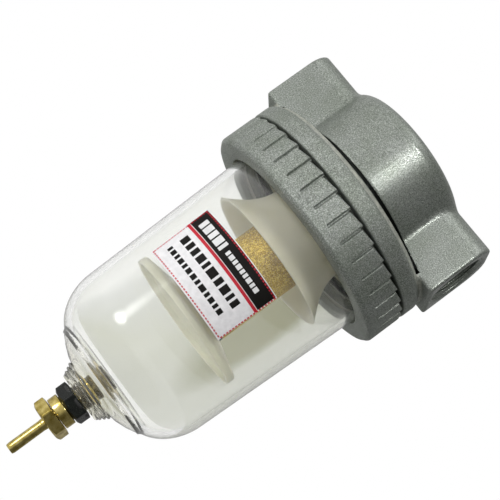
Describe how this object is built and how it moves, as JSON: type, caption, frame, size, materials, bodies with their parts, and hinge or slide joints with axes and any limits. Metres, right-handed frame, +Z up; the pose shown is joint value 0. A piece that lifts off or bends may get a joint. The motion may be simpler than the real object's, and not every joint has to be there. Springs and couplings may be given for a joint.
{
  "type": "compressed air filter",
  "caption": "In-line compressed air filter with an aluminium head, threaded collar ring, clear bowl, swirl deflector, sintered bronze element and a brass twist drain with a hose tube.",
  "frame": {"origin": "where the line of the two ports crosses the bowl's axis", "axes": "+Z up along the bowl's axis, from the drain to the head; +X along the port line, with the flow, from inlet to outlet"},
  "size_m": [0.088, 0.084, 0.1673],
  "materials": {
    "cast_aluminium": "die-cast, fine sparkling grain, painted silver-grey",
    "clear_plastic": "clear moulded polycarbonate, glossy",
    "label_paper": null,
    "rubber": "matt black",
    "slip_plastic": "natural",
    "milky_plastic": "translucent white moulding",
    "sintered_bronze": "granular, sintered",
    "steel": "zinc plated",
    "pale_plastic": "translucent pale yellow-green moulding",
    "brass": "turned",
    "black_plastic": "satin black"
  },
  "bodies": {
    "head": {"head_casting": "cast_aluminium", "swirl_deflector": "milky_plastic", "element_top_gasket": "rubber", "filter_element": "sintered_bronze", "element_bottom_gasket": "rubber", "centre_stud": "steel", "baffle_disc": "pale_plastic"},
    "bowl": {"bowl": "clear_plastic", "bowl_o_ring": "rubber", "label": "label_paper", "drain_body": "brass", "drain_inner_nut": "brass", "drain_inner_gasket": "rubber", "drain_outer_o_ring": "rubber", "drain_lock_nut": "black_plastic"},
    "slip_washer": {"bowl_slip_washer": "slip_plastic"},
    "collar": {"collar_ring": "cast_aluminium"},
    "drain_seat": {"drain_seal": "rubber"},
    "drain_valve": {"drain_stem": "brass", "drain_stem_o_ring": "rubber", "drain_knob": "brass", "drain_tube": "brass"}
  },
  "joints": [
    {"name": "bowl_withdraw", "type": "slide", "parent": "head", "child": "bowl", "axis": [0, 0, -1], "range_m": [0, 0.09]},
    {"name": "collar_travel", "type": "slide", "parent": "bowl", "child": "slip_washer", "axis": [0, 0, -1], "range_m": [0, 0.00501]},
    {"name": "collar_turn", "type": "hinge", "parent": "slip_washer", "child": "collar", "pos_m": [0, 0, -0.0285], "axis": [0, 0, -1], "range_deg": [0, 900]},
    {"name": "drain_travel", "type": "slide", "parent": "bowl", "child": "drain_seat", "axis": [0, 0, -1], "range_m": [0, 0.00151]},
    {"name": "drain_turn", "type": "hinge", "parent": "drain_seat", "child": "drain_valve", "pos_m": [0, 0, -0.1354], "axis": [0, 0, -1], "range_deg": [0, 540]}
  ],
  "couplings": [
    {"joint": "collar_travel", "follows": "collar_turn", "m_per_rad": 0.00031831},
    {"joint": "drain_travel", "follows": "drain_turn", "m_per_rad": 0.00015915}
  ]
}
